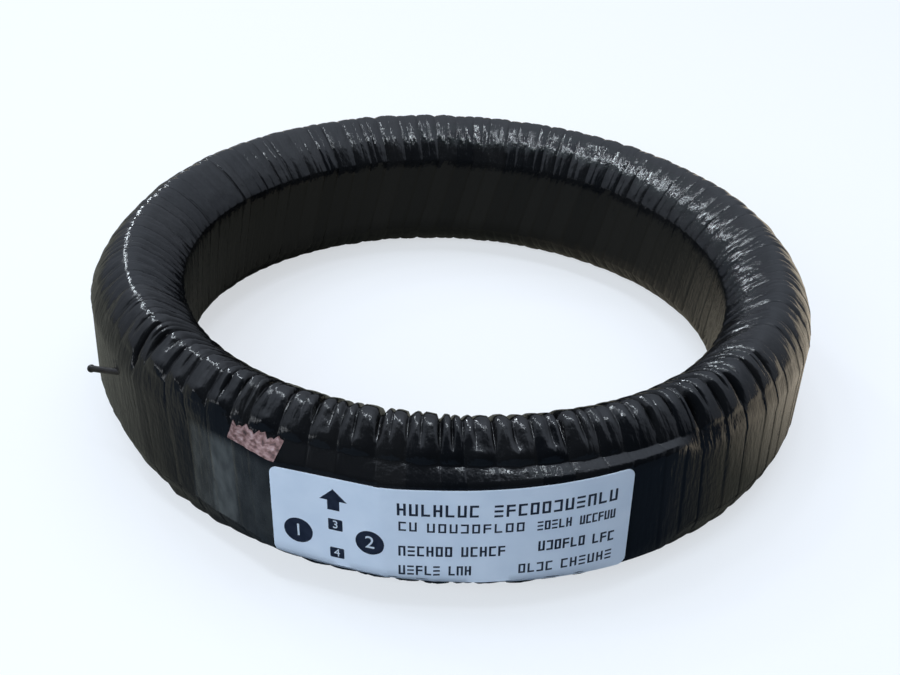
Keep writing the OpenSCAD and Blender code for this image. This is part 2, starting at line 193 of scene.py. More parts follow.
# Bright overhead, less so towards the back, dim behind the camera
split_place = nodes.new("ShaderNodeSeparateXYZ")
links.new(place_node.outputs["Generated"], split_place.inputs["Vector"])
sky = ramp_node(
    nodes,
    (0.0, (0.22, 0.24, 0.28)),
    (0.35, (0.34, 0.38, 0.45)),
    (0.6, (0.52, 0.58, 0.68)),
    (1.0, (1.0, 1.12, 1.32)),
)
links.new(split_place.outputs["Z"], sky.inputs["Fac"])
behind = range_node(nodes, links, split_place.outputs["Y"], DIM_TO_Y, DIM_FROM_Y, DIMMEST, 1.0)
links.new(sky.outputs["Color"], studio.inputs["Color"])
links.new(behind.outputs["Result"], studio.inputs["Strength"])
rays = nodes.new("ShaderNodeLightPath")
mixed = nodes.new("ShaderNodeMixShader")
links.new(rays.outputs["Is Camera Ray"], mixed.inputs["Fac"])
links.new(studio.outputs[0], mixed.inputs[1])
links.new(backdrop.outputs[0], mixed.inputs[2])
links.new(mixed.outputs[0], output.inputs["Surface"])


def softbox(name, azimuth, elevation, far, size, power, colour, mirrored=True):
    """An area lamp at a direction from the ring, aimed at it."""
    lamp = bpy.data.lights.new(name, "AREA")
    lamp.shape = "RECTANGLE"
    lamp.size, lamp.size_y = size
    lamp.energy = power
    lamp.color = colour
    lamp_object = bpy.data.objects.new(name, lamp)
    bpy.context.scene.collection.objects.link(lamp_object)
    flat = math.cos(math.radians(elevation)) * far
    lamp_object.location = (
        math.cos(math.radians(azimuth)) * flat,
        math.sin(math.radians(azimuth)) * flat,
        math.sin(math.radians(elevation)) * far,
    )
    lamp_object.rotation_euler = (-lamp_object.location).to_track_quat("-Z", "Y").to_euler()
    lamp_object.visible_glossy = mirrored


# A row of ceiling lamps from the back left over the ring, a window low at the left, and a soft fill
CEILING = [(126, 24), (135, 38), (150, 50), (168, 62), (178, 75), (-120, 80), (-60, 76)]
CEILING_SIZE, CEILING_POWER, CEILING_COLOUR = (0.07, 0.07), 0.6, (0.86, 0.94, 1.0)
for number, (azimuth, elevation) in enumerate(CEILING):
    softbox("ceiling_%d" % number, azimuth, elevation, 1.0, CEILING_SIZE, CEILING_POWER, CEILING_COLOUR)
softbox("low_window", -162, 6, 1.0, (0.3, 0.12), 0.25, (0.9, 0.95, 1.0))
softbox("front_fill", -118, 32, 1.2, (0.9, 0.6), 12, (0.76, 0.89, 1.0), mirrored=False)
softbox("top_fill", 80, 70, 1.2, (0.9, 0.9), 3.5, (0.94, 0.96, 1.0), mirrored=False)

# --- Outer tape ----------------------------------------------------------------------------------
# Glossy black vinyl tape, half lapped round the whole ring. It lies taut on the outer wall, where each
# turn leaves a step, and gathers over the crests and into the window in folds that end in dark slits.
WINDOW_R = 50.0
CREST_R = 58.5
OUTER_R = 64.78
CREST_Z = cad_high[2] / MM
REST_Z = -cad_low[2] / MM
OUTER_SHOULDER = 9.2
INNER_SHOULDER = 7.3
OUTER_FULLNESS = 1.66
INNER_FULLNESS = 1.2
LAPS = 84
LAP_SCATTER = 0.4
LAP_LEAN = 0.1       # degrees round the ring for each mm of height
STEP = 0.12          # what a tape edge stands out by
FRONT_AT = -88.6     # azimuth of the label's middle
SIDE_SWELL = 0.8
JOINT_SWELL, JOINT_AT, JOINT_SPAN = 1.1, -170, 22
BEND_UP, BEND_LOW = (8.775, 0.042), (9.075, 0.02)     # height at the middle and slope, per mm along x

STRIP_FROM, STRIP_TO, STRIP_FALL = -136, -58, 5
CREASES = (-113, -98)
STRIP_RISE, CREASE_RISE, STRIP_END_RISE = 1.15, 0.35, 0.35
CREASE_R = OUTER_R + STRIP_RISE + CREASE_RISE
CREASE_FADE = 8
CREASE_ROUND = 0.8


def sind(a):
    """Sine of an angle in degrees."""
    return np.sin(np.radians(a))


def cosd(a):
    """Cosine of an angle in degrees."""
    return np.cos(np.radians(a))


def ease(x):
    """A soft step from 0 to 1."""
    t = np.clip(x, 0, 1)
    return t * t * (3 - 2 * t)


def scatter(k, seed):
    """A number from 0 to 1 for each turn k, always the same one."""
    v = sind(k * 71.37 + seed * 37.71) * 437.585
    return v - np.floor(v)


def hump(x, middle, half_width):
    """A bell curve of height 1."""
    return np.exp(-(((x - middle) / half_width) ** 2))


def grain(x, y, around, seed):
    """Smooth noise from -1 to 1 on a lattice that closes after around cells of x."""
    x = np.mod(x, around)
    i, j = np.floor(x), np.floor(y)
    u, v = ease(x - i), ease(y - j)
    corner = [scatter(np.mod(i + a, around) * 3.1 + (j + b) * 97.3, seed) for b in (0, 1) for a in (0, 1)]
    low = corner[0] * (1 - u) + corner[1] * u
    high = corner[2] * (1 - u) + corner[3] * u
    return 2 * (low * (1 - v) + high * v) - 1


def wall_r(az):
    """Radius of the taped wall, fuller at the sides and over the winding's joints at the left."""
    off = np.abs(az - JOINT_AT)
    off = np.minimum(off, 360 - off)
    return OUTER_R + SIDE_SWELL * cosd(az) ** 2 + JOINT_SWELL * ease(1 - off / JOINT_SPAN)


def chord_r(a, a0, r0, a1, r1):
    """Radius at azimuth a of the straight line between two points."""
    return r0 * r1 * sind(a1 - a0) / (r0 * sind(a - a0) + r1 * sind(a1 - a))


def creased_r(az):
    """Radius of the face over the strip: a flat up to each crease, then a curve that falls off."""
    a = np.clip(az, STRIP_FROM, STRIP_TO)
    left = chord_r(a, STRIP_FROM, OUTER_R, CREASES[0], CREASE_R)
    flat = chord_r(a, CREASES[0], CREASE_R, CREASES[1], CREASE_R)
    past = np.maximum(0, a - CREASES[1])
    run = past / (STRIP_TO - CREASES[1])
    arc = CREASE_R - CREASE_RISE * ease(past / CREASE_FADE) - (STRIP_RISE - STRIP_END_RISE) * run * run
    return np.where(a < CREASES[0], left, np.where(a < CREASES[1], flat, arc))


def strip_face_r(az):
    """The same with its creases rounded."""
    return sum(creased_r(az + i * CREASE_ROUND) for i in range(-2, 3)) / 5


def bend_z(az, up):
    """Height of the bend over the strip's edge, away from the middle."""
    high, slope = BEND_UP if up > 0 else BEND_LOW
    return high + slope * strip_face_r(az) * cosd(az)


def strip_share(az):
    """1 over the strip and 0 beside it."""
    return ease((az - STRIP_FROM) / STRIP_FALL + 1) * ease((STRIP_TO - az) / STRIP_FALL + 1)


def outer_shoulder(t, az):
    """Radius and height of the rounded outer shoulder, from t = 0 at the wall to 90 at the crest."""
    c, s = np.clip(cosd(t), 0, 1), np.clip(sind(t), 0, 1)
    w = wall_r(az) - CREST_R
    return CREST_R + w * c ** (2 / OUTER_FULLNESS), CREST_Z - OUTER_SHOULDER * (1 - s ** (2 / OUTER_FULLNESS))


def inner_shoulder(t):
    """The same of the inner shoulder, from t = 0 at the window."""
    c, s = np.clip(cosd(t), 0, 1), np.clip(sind(t), 0, 1)
    r = CREST_R - (CREST_R - WINDOW_R) * c ** (2 / INNER_FULLNESS)
    return r, CREST_Z - INNER_SHOULDER * (1 - s ** (2 / INNER_FULLNESS))


EDGE_T = 8           # place on the shoulder of the wall's edge
FOLD_UP, FOLD_LOW = 33, 45     # places where the bevels over the cover strip meet the gathers


def face_point(t, az, up):
    """Radius and height of the outer shoulder: straight from the strip's edge to the fold."""
    fold = FOLD_UP if up > 0 else FOLD_LOW
    r, z = outer_shoulder(t, az)
    fold_r, fold_z = outer_shoulder(fold, az)
    part = np.clip((t - EDGE_T) / (fold - EDGE_T), 0, 1)
    flat_r = strip_face_r(az) * (1 - part) + fold_r * part
    flat_z = bend_z(az, up) * (1 - part) + fold_z * part
    share = np.where(t < fold, strip_share(az), 0)
    return r * (1 - share) + flat_r * share, z * (1 - share) + flat_z * share


# Rows round the section: (zone, place in it). The upper shoulders are the finest.
UP_PLACES = [8, 14, 20, 25, 29, 31.5, 33, 34.5, 36.5, 39, 42, 45]
UP_PLACES += [48, 51.5, 55, 58.5, 62, 66, 70, 74, 78, 82, 86]
rows = [("wall", u) for u in np.linspace(0, 1, 9)[:-1]]
rows += [("outer_up", t) for t in UP_PLACES]
rows += [("inner_up", t) for t in np.linspace(90, 5, 20)]
rows += [("bore", u) for u in np.linspace(0, 1, 8)[1:-1]]
rows += [("inner_low", t) for t in np.linspace(5, 90, 12)[:-1]]
rows += [("outer_low", t) for t in np.linspace(90, EDGE_T, 15)[:-1]]
LAP_COLUMNS = 14
COLUMNS = LAPS * LAP_COLUMNS


def section_plain(zone, place):
    """Radius and height of the section away from the cover strip."""
    if zone == "wall":
        r, z = outer_shoulder(EDGE_T, 90)
        return r, -z + 2 * z * place
    if zone == "bore":
        top = inner_shoulder(5)[1]
        return WINDOW_R, top - 2 * top * place
    r, z = outer_shoulder(place, 90) if zone.startswith("outer") else inner_shoulder(place)
    return r, z if zone.endswith("up") else -z


plain = np.array([section_plain(*row) for row in rows])


CREST_ROUND, ROUND_REACH, CREST_LIFT = 1.7, 3.6, 0.3


def crest_shift(zone, place):
    """How far a point of the plain section moves as the crest's sharp ridge is rounded off."""
    if zone not in ("outer_up", "inner_up"):
        return 0, 0
    side_a = [outer_shoulder(t, 90) for t in np.linspace(20, 89.9, 200)]
    side_b = [inner_shoulder(t) for t in np.linspace(90, 12, 200)]
    line = np.array(side_a + side_b)
    run = np.concatenate([[0], np.cumsum(np.hypot(*np.diff(line, axis=0).T))])
    r, z = outer_shoulder(place, 90) if zone == "outer_up" else inner_shoulder(place)
    here = run[np.argmin((line[:, 0] - r) ** 2 + (line[:, 1] - z) ** 2)]
    weight = np.gradient(run) * hump(run, here, CREST_ROUND)
    mean = (line * weight[:, None]).sum(axis=0) / weight.sum()
    keep = hump(here, run[200], ROUND_REACH)
    return (mean[0] - r) * keep, (mean[1] - z) * keep + CREST_LIFT * keep


shifts = [crest_shift(*row) for row in rows]

deselect()
bpy.ops.mesh.primitive_circle_add(vertices=len(rows), radius=8 * MM, location=(57 * MM, 0, 0),
                                  rotation=(math.pi / 2, 0, 0))
tape = bpy.context.object
tape.name = "tape_turns"
bpy.ops.object.transform_apply(location=True, rotation=True, scale=True)
for vertex, (r, z) in zip(tape.data.vertices, plain):
    vertex.co = (r * MM, 0, z * MM)
bpy.ops.object.mode_set(mode="EDIT")
bpy.ops.mesh.select_all(action="SELECT")
bpy.ops.mesh.spin(steps=COLUMNS, angle=2 * math.pi, center=(0, 0, 0), axis=(0, 0, 1))
bpy.ops.mesh.select_all(action="SELECT")
bpy.ops.mesh.remove_doubles(threshold=1e-6)
bpy.ops.mesh.normals_make_consistent(inside=False)
bpy.ops.object.mode_set(mode="OBJECT")

count = len(tape.data.vertices)
points = np.empty(count * 3)
tape.data.vertices.foreach_get("co", points)
points = points.reshape(-1, 3)
vertex_r = np.hypot(points[:, 0], points[:, 1]) / MM
vertex_z = points[:, 2] / MM
vertex_a = np.degrees(np.arctan2(points[:, 1], points[:, 0]))
column = np.round(vertex_a / 360 * COLUMNS).astype(int) % COLUMNS
row_of = np.argmin((vertex_r[:, None] - plain[:, 0]) ** 2 + (vertex_z[:, None] - plain[:, 1]) ** 2, axis=1)


def lap_edge(k):
    """Azimuth of the edge of turn k."""
    i = np.mod(k, LAPS)
    return -180 + (k + LAP_SCATTER * (scatter(i, 1) - 0.5)) * 360 / LAPS


def slit(far, width):
    """Depth, from 1 to 0, of a narrow slit at a distance from its middle."""
    return np.clip(1 - far / width, 0, 1) ** 1.5


# Each turn has a fold at its edge and a lesser one within. The columns crowd round both.
TORN_LAP = 9         # the turn whose edge stands out at the left
lap = column // LAP_COLUMNS
inside = column % LAP_COLUMNS
split = 0.36 + 0.28 * scatter(lap, 3)
half_columns = LAP_COLUMNS // 2
crowd = 0.5 - 0.5 * np.cos(np.pi * (inside % half_columns) / half_columns)
across = np.where(inside < half_columns, split * crowd, split + (1 - split) * crowd)
PITCH = 360 / LAPS * math.pi / 180

# How far the folds may sink on the inner shoulder, where the tape lies thin on the crepe paper
SINK_PLACES = [5, 15, 25, 35, 45, 55, 65, 90]
SINK_MOST = [1.0, 0.8, 0.45, 0.3, 0.3, 0.6, 1.0, 1.5]


EDGE_START, EDGE_RUN = 22, 34     # place where the folds at the edges start, and how far they deepen
TUCK_START, TUCK_RUN = 34, 30     # the same of the lesser folds within the turns
CALM = 0.2                        # share of their depth that the folds keep at the back
TORN_DEPTH, TORN_START, TORN_WIDEN = 1.1, 8, 1.8


def fold_depth(k, across, split, t, outer, front, fine, share):
    """Depth of the folds at a turn's edges and within it, in mm, for places across the turn."""
    first = np.mod(k, LAPS)
    second = np.mod(k + 1, LAPS)
    mm = PITCH * CREST_R
    total = 0
    for edge, far, lopsided in ((first, across * mm, 1.25), (second, (1 - across) * mm, 0.6)):
        strong = (0.45 + 1.0 * scatter(edge, 2)) * (CALM + (1 - CALM) * np.maximum(front, 0.7 * fine))
        torn = edge == TORN_LAP
        strong = np.where(torn, TORN_DEPTH, strong)
        start = EDGE_START + 12 * scatter(edge, 8) + 12 * front * share
        start = np.where(torn, TORN_START, start)
        grow = ease((t - start) / EDGE_RUN) if outer else 1
        width = (0.5 + 0.75 * scatter(edge, 6)) * (0.45 + 0.55 * grow) * np.where(torn, TORN_WIDEN, 1)
        total = np.maximum(total, strong * grow * slit(far, width * lopsided))
    strong = (0.15 + 0.8 * scatter(first, 4)) * (CALM + (1 - CALM) * np.maximum(front, 1.1 * fine))
    grow = ease((t - TUCK_START - 16 * scatter(first, 9)) / TUCK_RUN) if outer else 1
    width = (0.35 + 0.6 * scatter(first, 10)) * (0.45 + 0.55 * grow)
    total = np.maximum(total, strong * grow * slit(np.abs(across - split) * mm, width))
    return total


# How far the creased flats left of the label stand out
FACET_AT = [-180, -136, -128, -124, -119.6, -113, -100, 180]
FACET_OUT = [0, 0, -0.14, 0.1, -0.12, 0.0, 0, 0]
new_r = np.zeros(count)
new_z = np.zeros(count)
new_a = np.zeros(count)
# Painted shade: how deep the folds, slits and grooves are, which darkens the tape's colour
painted_slit_shade = np.zeros(count)
arc = np.zeros(count)
travel = 0
for i, (zone, t) in enumerate(rows):
    here = row_of == i
    travel += math.dist(plain[i], plain[i - 1]) if i else 0
    arc[here] = travel
    k = lap[here]
    across_here = across[here]
    split_here = split[here]
    up = -1 if zone.endswith("low") else 1
    edge_a = lap_edge(k) * (1 - across_here) + lap_edge(k + 1) * across_here
    turn_a = edge_a / 360
    if zone == "wall":
        wall_z = outer_shoulder(EDGE_T, 90)[1]
        a = edge_a - LAP_LEAN * wall_z * (2 * t - 1)
        share = strip_share(a)
        r = outer_shoulder(EDGE_T, a)[0] * (1 - share) + strip_face_r(a) * share
        low_z = -wall_z * (1 - share) - bend_z(a, -1) * share
        high_z = wall_z * (1 - share) + bend_z(a, 1) * share
        z = low_z + (high_z - low_z) * t
        groove = slit(across_here * PITCH * r, 0.5) + slit((1 - across_here) * PITCH * r, 0.3)
        facet = np.interp(a, FACET_AT, FACET_OUT) * share
        r = r - STEP * across_here - 0.07 * groove + facet
        r = r + 0.05 * grain(turn_a * 126, z / 7, 126, 21) - 0.03
        painted_slit_shade[here] = 0.5 * groove
    elif zone == "bore":
        top_z = inner_shoulder(5)[1]
        a = edge_a - LAP_LEAN * (2 * CREST_Z - top_z) * (1 - 2 * t)
        groove = slit(across_here * PITCH * WINDOW_R, 0.5)
        r = WINDOW_R + 0.08 * across_here + 0.08 * groove + 0.04 * (1 + grain(turn_a * 252, t * 3, 252, 22))
        z = np.full(k.shape, top_z * (1 - 2 * t))
        painted_slit_shade[here] = 0.5 * groove
    else:
        outer = zone.startswith("outer")
        side = 1 if outer else -1
        plain_z = outer_shoulder(t, 90)[1] if outer else inner_shoulder(t)[1]
        lean_z = plain_z if outer else 2 * CREST_Z - plain_z
        a = edge_a - LAP_LEAN * up * lean_z
        away = np.abs(np.mod(a - FRONT_AT + 180, 360) - 180)
        front = ease((60 - away) / 22)
        fine = ease(1 - np.abs(a + 138) / 16)
        if outer:
            share = strip_share(a)
            r, z = face_point(t, a, up)
        else:
            share = np.zeros(k.shape)
            r, z = (np.full(k.shape, v) for v in inner_shoulder(t))
        r, z = r + shifts[i][0], z + shifts[i][1]
        depth = fold_depth(k, across_here, split_here, t, outer, front, fine, share)
        on_dome = ease((t - FOLD_UP + 3) / 6) if outer else 1
        swell = 0.10 + 0.12 * np.maximum(front, fine)
        lobe = swell * (1 - np.abs(2 * across_here - 1) ** 2.5) * on_dome
        uneven = (scatter(k, 11) - 0.5) * 0.34 * on_dome * slit(np.abs(across_here - 0.5), 0.62)
        bumps = 0.075 * grain(turn_a * 210, travel / 1.6, 210, 12)
        bumps = bumps + 0.03 * grain(turn_a * 504, travel / 2.4, 504, 13)
        bumps = bumps * (1 - 0.5 * front)
        if outer:
            ramped = 1 if up > 0 else 0.4
            edged = share * ease((-62 - a) / 10)
            nose = (0.42 * hump(t, 43, 7) - 0.16 * hump(t, 66, 9)) * edged * ramped
            nose = nose * (0.6 + 0.8 * scatter(k, 14))
            bevel = share * (1 - ease((t - FOLD_UP + 1) / 2))
            part = np.clip((t - EDGE_T) / (FOLD_UP - EDGE_T), 0, 1)
            roll = 0.62 * part ** 1.6 * (1 - part) * edged * (0.7 + 0.6 * scatter(k, 15))
            groove = slit(across_here * PITCH * r, 0.45)
            depth = depth + 0.1 * groove * bevel + STEP * across_here * (1 - bevel)
            bumps = bumps * (1 - 0.7 * bevel)
            facet = np.interp(a, FACET_AT, FACET_OUT) * (1 - ease((t - EDGE_T) / 12)) * share
            out = lobe + uneven + nose * slit(np.abs(across_here - 0.5), 0.75) + roll + bumps + facet
        else:
            most = np.interp(t, SINK_PLACES, SINK_MOST)
            lift = 0.28 * hump(t, 42, 20)
            out = lobe + uneven * 0.6 + bumps + lift
            depth = np.minimum(depth, most + lift + lobe) + STEP * across_here
        painted_slit_shade[here] = np.clip(depth / 0.9, 0, 1)
        r = r + (out - depth) * side * cosd(t)
        z = z + (out - depth) * sind(t)
        if up < 0:
            z = -np.minimum(z, REST_Z)
    new_a[here] = a
    new_r[here] = r
    new_z[here] = z

new_r = np.maximum(new_r, WINDOW_R)
new_z = np.minimum(new_z, CREST_Z + 0.2)
moved = np.stack([new_r * cosd(new_a), new_r * sind(new_a), new_z], axis=1) * MM
tape.data.vertices.foreach_set("co", moved.ravel())
tape.data.update()
# The weave runs round the ring and along the section, so that grain follows the lean of the tape
nominal = lap_edge(lap) * (1 - across) + lap_edge(lap + 1) * across
weave = np.stack([CREST_R * cosd(nominal), CREST_R * sind(nominal), arc], axis=1)
attribute = tape.data.attributes.new("weave", "FLOAT_VECTOR", "POINT")
attribute.data.foreach_set("vector", weave.astype(np.float32).ravel())
# Flats of the left front with the room's light painted on as a reflection: dull olive, then a pale one, then
# olive up to the label
PALE_AT = [-180, -128.6, -128, -124.2, -123.8, -120, -119.3, -113, -111, 180]
PALE = [0, 0, 0.42, 0.42, 0.95, 0.85, 0.34, 0.3, 0, 0]
on_wall = np.array([zone == "wall" for zone, _ in rows])[row_of]
pale = np.interp(new_a, PALE_AT, PALE) * on_wall
for name, values in (("slit_shade", painted_slit_shade), ("lap_tone", scatter(lap, 7)), ("pale", pale)):
    attribute = tape.data.attributes.new(name, "FLOAT", "POINT")
    attribute.data.foreach_set("value", values.astype(np.float32))
deselect()
tape.select_set(True)
bpy.context.view_layer.objects.active = tape
bpy.ops.object.shade_smooth()


def noise_node(nodes, links, source, scale, detail=2.0, stretch=(1, 1, 1)):
    """Noise on a vector, stretched first."""
    mapping = nodes.new("ShaderNodeMapping")
    mapping.inputs["Scale"].default_value = stretch
    links.new(source, mapping.inputs["Vector"])
    noise = nodes.new("ShaderNodeTexNoise")
    noise.inputs["Scale"].default_value = scale
    noise.inputs["Detail"].default_value = detail
    links.new(mapping.outputs["Vector"], noise.inputs["Vector"])
    return noise


def attribute_node(nodes, name):
    attribute = nodes.new("ShaderNodeAttribute")
    attribute.attribute_name = name
    return attribute


def blend_node(nodes, links, share, first, second):
    """Blends from a colour link to a plain colour."""
    blend = nodes.new("ShaderNodeMix")
    blend.data_type = "RGBA"
    links.new(share, blend.inputs["Factor"])
    links.new(first, blend.inputs["A"])
    blend.inputs["B"].default_value = (*second, 1)
    return blend


def bump_node(nodes, links, height, distance, strength, under=None):
    """A bump from a height link, on top of another bump if one is given."""
    bump = nodes.new("ShaderNodeBump")
    bump.inputs["Strength"].default_value = strength
    bump.inputs["Distance"].default_value = distance
    links.new(height, bump.inputs["Height"])
    if under:
        links.new(under.outputs["Normal"], bump.inputs["Normal"])
    return bump


BLACKEST, BLACK = (0.003, 0.0035, 0.0045), (0.0075, 0.0075, 0.008)
# Painted shade for the slits, and a painted reflection for the pale flats
SLIT_SHADE, PALE_FLAT = (0.001, 0.001, 0.0012), (0.105, 0.108, 0.105)
GLOSSIEST, DULLEST = 0.09, 0.18

tape_material, nodes, links, shader = new_material("black_vinyl_tape")
shader.inputs["Specular IOR Level"].default_value = 0.5
weave_link = attribute_node(nodes, "weave").outputs["Vector"]
tone = attribute_node(nodes, "lap_tone")
black = ramp_node(nodes, (0.0, BLACKEST), (1.0, BLACK))
links.new(tone.outputs["Fac"], black.inputs["Fac"])
# Painted shade: the tape's colour darkens to near black where its folds, slits and grooves are deep
slit_shade = attribute_node(nodes, "slit_shade")
slit_shaded = blend_node(nodes, links, slit_shade.outputs["Fac"], black.outputs["Color"], SLIT_SHADE)
# Painted reflection: the pale attribute blends the colour, in patches, towards a pale grey on the left front
# flats
painted_reflection = attribute_node(nodes, "pale")
reflection_patches = noise_node(nodes, links, weave_link, 0.5, 4, (1, 1, 0.5))
painted_reflection_share = nodes.new("ShaderNodeMath")
painted_reflection_share.operation = "MULTIPLY"
links.new(painted_reflection.outputs["Fac"], painted_reflection_share.inputs[0])
patchy = ramp_node(nodes, (0.35, (0.5, 0.5, 0.5)), (0.65, (1.0, 1.0, 1.0)))
links.new(reflection_patches.outputs["Fac"], patchy.inputs["Fac"])
links.new(patchy.outputs["Color"], painted_reflection_share.inputs[1])
lit = blend_node(nodes, links, painted_reflection_share.outputs[0], slit_shaded.outputs["Result"], PALE_FLAT)
links.new(lit.outputs["Result"], shader.inputs["Base Color"])
smudge = noise_node(nodes, links, weave_link, 0.35, 3, (1, 1, 0.6))
gloss = range_node(nodes, links, smudge.outputs["Fac"], 0.35, 0.65, GLOSSIEST, DULLEST)
links.new(gloss.outputs["Result"], shader.inputs["Roughness"])
wrinkle = noise_node(nodes, links, weave_link, 1.4, 3, (1, 1, 0.22))
dimple = noise_node(nodes, links, weave_link, 1.1, 2, (1, 1, 0.8))
fine_bump = bump_node(nodes, links, wrinkle.outputs["Fac"], 0.00025, 0.5)
both_bumps = bump_node(nodes, links, dimple.outputs["Fac"], 0.0002, 0.35, fine_bump)
links.new(both_bumps.outputs["Normal"], shader.inputs["Normal"])
tape.data.materials.append(tape_material)
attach(tape, "root")
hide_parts("outer_tape")

# --- Label ---------------------------------------------------------------------------------------
# A printed film, cut with round corners and stuck on the taped wall over the strip. It carries an
# arrow, two discs with plain numbers, two squares and lines of blocks in place of words.
LABEL_W, LABEL_H, LABEL_T = 55.2, 18.6, 0.15
LABEL_CORNER = 1.4
LABEL_TURN = 2
LABEL_DROP = 0.8     # from the bend over the strip's edge down to the label
LABEL_Z = float(bend_z(FRONT_AT, 1)) - LABEL_DROP - LABEL_H / 2
SEAT = 0.05
INK_T, INK_LIFT = 0.05, 0.02
NUMBER_T, NUMBER_LIFT = 0.02, 0.04
FACE_R = OUTER_R + STRIP_RISE


def face_radius(az, z):
    """Radius of the taped wall and its bevels at an azimuth and a height."""
    places = np.linspace(EDGE_T, 90, 42)
    up_r, up_z = face_point(places, az, 1)
    low_r, low_z = face_point(places, az, -1)
    return np.interp(z, np.concatenate([-low_z[::-1], up_z]), np.concatenate([low_r[::-1], up_r]))


def lay_on_wall(piece, azimuth, height, turn, lift, crease=None):
    """Bends a flat piece, drawn in mm with its face up, onto the wall at an azimuth and a height."""
    for vertex in piece.data.vertices:
        x, y, out = vertex.co / MM
        a = azimuth + math.degrees((x * cosd(turn) - y * sind(turn)) / FACE_R)
        z = height + x * sind(turn) + y * cosd(turn)
        r = float(face_radius(a, z)) + lift + out
        if crease:
            r += crease(x, y)
        vertex.co = (r * cosd(a) * MM, r * sind(a) * MM, z * MM)
    piece.data.update()


def slice_up(step_x, step_y, half_w, half_h):
    """Cuts the edited flat piece along x and y, so that it can bend."""
    for axis, half_size, step in ((0, half_w, step_x), (1, half_h, step_y)):
        for i in range(1, int(2 * half_size / step)):
            at = [0, 0, 0]
            at[axis] = (-half_size + i * step) * MM
            normal = [0, 0, 0]
            normal[axis] = 1
            bpy.ops.mesh.select_all(action="SELECT")
            bpy.ops.mesh.bisect(plane_co=at, plane_no=normal)


def thicken(depth):
    """Gives the edited flat piece a depth."""
    bpy.ops.mesh.select_all(action="SELECT")
    bpy.ops.mesh.extrude_region_move(TRANSFORM_OT_translate={"value": (0, 0, -depth * MM)})
    bpy.ops.mesh.select_all(action="SELECT")
    bpy.ops.mesh.normals_make_consistent(inside=False)


def flat_block(name, w, h, corner=0, segments=4):
    """A flat rectangle in the XY plane, w wide and h high in mm, left in edit mode."""
    deselect()
    bpy.ops.mesh.primitive_plane_add(size=MM)
    piece = bpy.context.object
    piece.name = name
    bpy.ops.object.mode_set(mode="EDIT")
    bpy.ops.mesh.select_all(action="SELECT")
    bpy.ops.transform.resize(value=(w, h, 1))
    if corner:
        bpy.ops.mesh.bevel(offset=corner * MM, segments=segments, affect="VERTICES")
    return piece


def flat_uv(piece, name, w, h):
    """A UV map over the width and the height of a flat piece."""
    uv = piece.data.uv_layers.new(name=name)
    for loop in piece.data.loops:
        x, y, _ = piece.data.vertices[loop.vertex_index].co / MM
        uv.data[loop.index].uv = (x / w + 0.5, y / h + 0.5)


def join_pieces(pieces, name):
    """One piece of many."""
    deselect()
    for piece in pieces:
        piece.select_set(True)
    bpy.context.view_layer.objects.active = pieces[0]
    bpy.ops.object.join()
    bpy.context.object.name = name
    return bpy.context.object


def mottle(nodes, links, shader, source, scale, detail, dark, light, stretch=(1, 1, 1)):
    """Colours a material from dark to light by a noise, and returns the noise."""
    noise = noise_node(nodes, links, source, scale, detail, stretch)
    shades = ramp_node(nodes, (0.3, dark), (0.7, light))
    links.new(noise.outputs["Fac"], shades.inputs["Fac"])
    links.new(shades.outputs["Color"], shader.inputs["Base Color"])
    return noise


def label_crease(x, y):
    """The film stands off in two soft creases."""
    first = 0.13 * math.exp(-(((x + 10.3 + 0.03 * y) / 0.5) ** 2))
    second = 0.12 * math.exp(-(((x + 2.6) / 0.6) ** 2) - ((y + 8) / 3.5) ** 2)
    return first + second


label_film = flat_block("label_film", LABEL_W, LABEL_H, LABEL_CORNER, 5)
slice_up(0.8, 1.2, LABEL_W / 2, LABEL_H / 2)
thicken(LABEL_T)
bpy.ops.object.mode_set(mode="OBJECT")
flat_uv(label_film, "label_uv", LABEL_W, LABEL_H)
lay_on_wall(label_film, FRONT_AT, LABEL_Z, LABEL_TURN, SEAT + LABEL_T, label_crease)
bpy.ops.object.shade_smooth_by_angle(angle=math.radians(40))

label_material, nodes, links, shader = new_material("label_film")
film_uv = nodes.new("ShaderNodeTexCoord").outputs["UV"]
mottle(nodes, links, shader, film_uv, 3, 3, (0.68, 0.75, 0.87), (0.76, 0.82, 0.93), (3, 1, 1))
shader.inputs["Roughness"].default_value = 0.38
speck = noise_node(nodes, links, film_uv, 60, 2, (3, 1, 1))
film_bump = bump_node(nodes, links, speck.outputs["Fac"], 0.00002, 0.3)
links.new(film_bump.outputs["Normal"], shader.inputs["Normal"])
label_film.data.materials.append(label_material)
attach(label_film, "root")
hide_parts("label")

ink_material, nodes, links, shader = new_material("label_ink")
ink_place = nodes.new("ShaderNodeTexCoord").outputs["Object"]
mottle(nodes, links, shader, ink_place, 900, 2, (0.010, 0.014, 0.028), (0.022, 0.028, 0.048))
shader.inputs["Roughness"].default_value = 0.4

# Each row of blocks: left end, right end, height of its middle at both ends, block height, blocks
LINES = [
    (-8.2, 4.0, 5.8, 5.6, 2.2, 7), (5.8, 25.2, 5.5, 5.2, 2.2, 11),
    (-8.0, -4.9, 2.7, 2.6, 1.7, 2), (-3.9, 10.8, 2.5, 2.2, 1.7, 9), (12.4, 17.9, 2.0, 1.9, 1.7, 5),
    (19.0, 25.0, 1.8, 1.6, 1.7, 6), (-8.0, 0.2, -2.0, -2.0, 1.9, 6), (1.2, 8.0, -2.0, -2.1, 1.9, 5),
    (12.7, 20.3, -1.9, -2.3, 1.9, 6), (21.3, 25.2, -2.4, -2.8, 1.9, 3),
    (-8.0, -1.6, -5.7, -5.7, 1.8, 5), (-0.6, 3.0, -5.7, -5.7, 1.8, 3),
    (9.8, 15.4, -5.9, -6.1, 1.8, 4), (16.4, 25.1, -6.1, -6.4, 1.8, 6),
]
